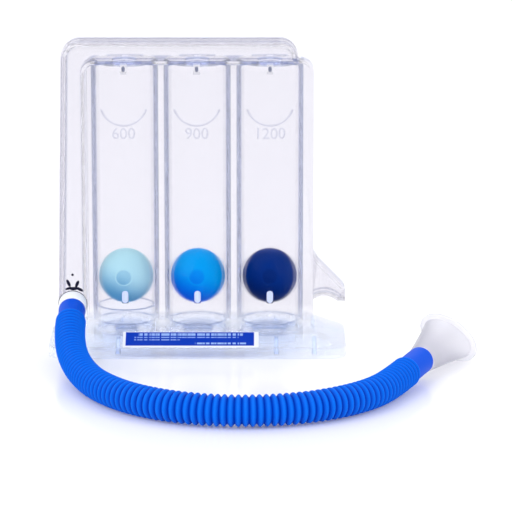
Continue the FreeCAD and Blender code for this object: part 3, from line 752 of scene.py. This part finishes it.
class SPIROMETER_OT_marks(bpy.types.Operator):
    """Moulded numbers and arcs on the chambers' fronts"""
    bl_idname = "spirometer.marks"
    bl_label = "Moulded marks"

    def execute(self, context):
        settings = context.scene.spirometer_body
        frosted = clear_polystyrene("polystyrene_clear_marks", settings.mark_tint, settings.edge_shade_tint,
                                    0.6)
        radius = settings.chamber_radius
        upright = Matrix.Rotation(math.radians(90), 4, "X")
        for step, (side, number) in enumerate(zip(SIDES, ("600", "900", "1200")), start=-1):
            x = step * settings.chamber_pitch
            curve = bpy.data.curves.new("number", "FONT")
            curve.body = number
            curve.size = NUMBER_SIZE
            curve.align_x = "CENTER"
            curve.extrude = settings.mark_relief / 2
            curve.resolution_u = 4
            text = bpy.data.objects.new("number", curve)
            context.scene.collection.objects.link(text)
            drawn = text.evaluated_get(context.evaluated_depsgraph_get())
            flat = bpy.data.meshes.new_from_object(drawn)
            bpy.data.objects.remove(text)
            build = bmesh.new()
            build.from_mesh(flat)
            bmesh.ops.remove_doubles(build, verts=build.verts, dist=0.001 * MM)
            bmesh.ops.transform(build, matrix=Matrix.Translation((0, 0, NUMBER_HEIGHT)) @ upright,
                                verts=build.verts)
            wrap(build, radius, x)
            show("number_" + side, build, frosted, HOUSING)
            build = bmesh.new()
            start = Matrix.Translation((0, 0, -ARC_RADIUS)) @ Matrix.Rotation(math.radians(90), 4, "Y")
            ring = bmesh.ops.create_circle(build, segments=8, radius=ARC_WIRE, matrix=start)["verts"]
            bmesh.ops.rotate(build, cent=(0, 0, 0), verts=ring,
                             matrix=Matrix.Rotation(ARC_HALF, 3, "Y"))
            edges = list(build.edges)
            bmesh.ops.spin(build, geom=ring + edges, cent=(0, 0, 0), axis=(0, 1, 0),
                           angle=-2 * ARC_HALF, steps=36)
            bmesh.ops.holes_fill(build, edges=build.edges, sides=8)
            bmesh.ops.translate(build, verts=build.verts, vec=(0, 0, ARC_HEIGHT))
            wrap(build, radius, x)
            bmesh.ops.recalc_face_normals(build, faces=build.faces)
            show("arc_" + side, build, frosted, HOUSING)
        return {"FINISHED"}


class SPIROMETER_OT_balls(bpy.types.Operator):
    """The balls, each with its moulding seam"""
    bl_idname = "spirometer.balls"
    bl_label = "Balls"

    def execute(self, context):
        settings = context.scene.spirometer_balls
        poles = {"left": (-0.05, -0.98, 0.14), "middle": (-0.02, -0.98, 0.16),
                 "right": (0.0, -0.98, 0.18)}
        rows = 64
        for side in SIDES:
            node = "ball_" + side
            low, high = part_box(node)
            centre = (low + high) / 2
            radius = (high.z - low.z) / 2
            build = bmesh.new()
            bmesh.ops.create_uvsphere(build, u_segments=96, v_segments=rows,
                                      radius=radius - settings.seam)
            ring_height = radius * math.cos(math.radians(360 / rows * 3))
            for vert in build.verts:
                # The seam runs round the widest line, and a moulded ring round one pole.
                if abs(vert.co.z) < 1e-6 or abs(vert.co.z - ring_height) < 0.1 * MM:
                    vert.co *= radius / (radius - settings.seam)
            pole = Vector(poles[side])
            bmesh.ops.rotate(build, cent=(0, 0, 0), matrix=pole.to_track_quat("Z", "Y").to_matrix(),
                             verts=build.verts)
            bmesh.ops.translate(build, vec=centre, verts=build.verts)
            colour = ball_polypropylene("polypropylene_ball_" + side, getattr(settings, side),
                                        getattr(settings, side + "_painted_shade"), centre, radius,
                                        pole.normalized())
            show(side + "_ball_moulded", build, colour, side + "_ball", [node])
        return {"FINISHED"}


class SPIROMETER_OT_label(bpy.types.Operator):
    """The printed label on the base's slope"""
    bl_idname = "spirometer.label"
    bl_label = "Label"

    def execute(self, context):
        low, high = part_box("base_label")
        film = printed_film("vinyl_label_film", low, high)
        show("label_film", merged("base_label"), film, HOUSING, ["base_label"])
        return {"FINISHED"}


class SPIROMETER_OT_hose(bpy.types.Operator):
    """The corrugated hose and its smooth cuffs"""
    bl_idname = "spirometer.hose"
    bl_label = "Hose"

    def execute(self, context):
        settings = context.scene.spirometer_hose
        blue = hose_polyethylene("polyethylene_blown_blue", settings.colour, settings.groove_shade_colour)
        smooth = hose_polyethylene("polyethylene_cuff_blue", settings.cuff_colour)
        for node in ("hose_cuff_body", "hose_cuff_mouth"):
            show("smooth_" + node, merged(node), smooth, HOUSING, [node])
        # The points of the route's own spline, and how far along it each is.
        curve = bpy.data.curves.new("route", "CURVE")
        curve.dimensions = "3D"
        spline = curve.splines.new("NURBS")
        spline.points.add(len(HOSE_ROUTE) - 1)
        for point, spot in zip(spline.points, HOSE_ROUTE):
            point.co = (*spot, 1.0)
        spline.order_u = 3
        spline.use_endpoint_u = True
        spline.resolution_u = 24
        route = bpy.data.objects.new("route", curve)
        context.scene.collection.objects.link(route)
        drawn = route.evaluated_get(context.evaluated_depsgraph_get())
        line = bpy.data.meshes.new_from_object(drawn)
        path = [vert.co.copy() for vert in line.vertices]
        bpy.data.objects.remove(route)
        reach = [0.0]
        for a, b in zip(path, path[1:]):
            reach.append(reach[-1] + (b - a).length)
        length = reach[-1]
        # A ring of vertices at each eighth of a corrugation, swelling and narrowing.
        steps = 8
        sides = 36
        stations = round(length / settings.pitch) * steps
        build = bmesh.new()
        crests = build.verts.layers.float.new("crest")
        previous = None
        index = 0
        for station in range(stations + 1):
            along = length * station / stations
            while index < len(path) - 2 and reach[index + 1] < along:
                index += 1
            share = (along - reach[index]) / (reach[index + 1] - reach[index])
            spot = path[index].lerp(path[index + 1], min(share, 1.0))
            before = path[max(index - 1, 0)]
            after = path[min(index + 2, len(path) - 1)]
            ahead = (after - before).normalized()
            side = ahead.cross(Vector((0, 0, 1))).normalized()
            over = side.cross(ahead)
            crest = (0.5 - 0.5 * math.cos(2 * math.pi * station / steps)) ** 0.6
            radius = settings.radius - settings.groove * (1 - crest)
            turn = Matrix((side, over, ahead)).transposed().to_4x4()
            ring = bmesh.ops.create_circle(build, segments=sides, radius=radius,
                                           matrix=Matrix.Translation(spot) @ turn)["verts"]
            for vert in ring:
                vert[crests] = crest
            edges = list({edge for vert in ring for edge in vert.link_edges})
            if previous:
                bmesh.ops.bridge_loops(build, edges=previous + edges)
            previous = edges
        bmesh.ops.holes_fill(build, edges=build.edges, sides=sides)
        bmesh.ops.recalc_face_normals(build, faces=build.faces)
        hose = show("corrugated_hose", build, blue, HOUSING, ["hose"])
        return {"FINISHED"}


class SPIROMETER_OT_mouthpiece(bpy.types.Operator):
    """The frosted mouthpiece"""
    bl_idname = "spirometer.mouthpiece"
    bl_label = "Mouthpiece"

    def execute(self, context):
        # The mouthpiece's edge colour is a painted shade at its lip.
        frosted = frosted_polyethylene("polyethylene_frosted", "EDECF4", 0.8, 0.0, 0.7, "BABACA")
        show("frosted_mouthpiece", merged("mouthpiece"), frosted, HOUSING,
             ["mouthpiece"])
        return {"FINISHED"}


class SPIROMETER_PT_panel(bpy.types.Panel):
    bl_idname = "SPIROMETER_PT_panel"
    bl_label = "Incentive spirometer"
    bl_space_type = "VIEW_3D"
    bl_region_type = "UI"
    bl_category = "Spirometer"

    def draw(self, context):
        for operator in OPERATORS:
            self.layout.operator(operator.bl_idname)


GROUPS = (
    (BodySettings, "spirometer_body"),
    (BallSettings, "spirometer_balls"),
    (HoseSettings, "spirometer_hose"),
    (StageSettings, "spirometer_stage"),
)
OPERATORS = (
    SPIROMETER_OT_stage,
    SPIROMETER_OT_mouthpiece,
    SPIROMETER_OT_hose,
    SPIROMETER_OT_body,
    SPIROMETER_OT_fins,
    SPIROMETER_OT_pegs,
    SPIROMETER_OT_port,
    SPIROMETER_OT_marks,
    SPIROMETER_OT_balls,
    SPIROMETER_OT_label,
)


def register():
    for group, name in GROUPS:
        bpy.utils.register_class(group)
        setattr(bpy.types.Scene, name, bpy.props.PointerProperty(type=group))
    for operator in OPERATORS:
        bpy.utils.register_class(operator)
    bpy.utils.register_class(SPIROMETER_PT_panel)


def unregister():
    bpy.utils.unregister_class(SPIROMETER_PT_panel)
    for operator in reversed(OPERATORS):
        bpy.utils.unregister_class(operator)
    for group, name in reversed(GROUPS):
        delattr(bpy.types.Scene, name)
        bpy.utils.unregister_class(group)


def main():
    register()
    bpy.ops.spirometer.stage()
    bpy.ops.spirometer.mouthpiece()
    bpy.ops.spirometer.hose()
    bpy.ops.spirometer.body()
    bpy.ops.spirometer.fins()
    bpy.ops.spirometer.pegs()
    bpy.ops.spirometer.port()
    bpy.ops.spirometer.marks()
    bpy.ops.spirometer.balls()
    bpy.ops.spirometer.label()


if __name__ == "__main__":
    main()
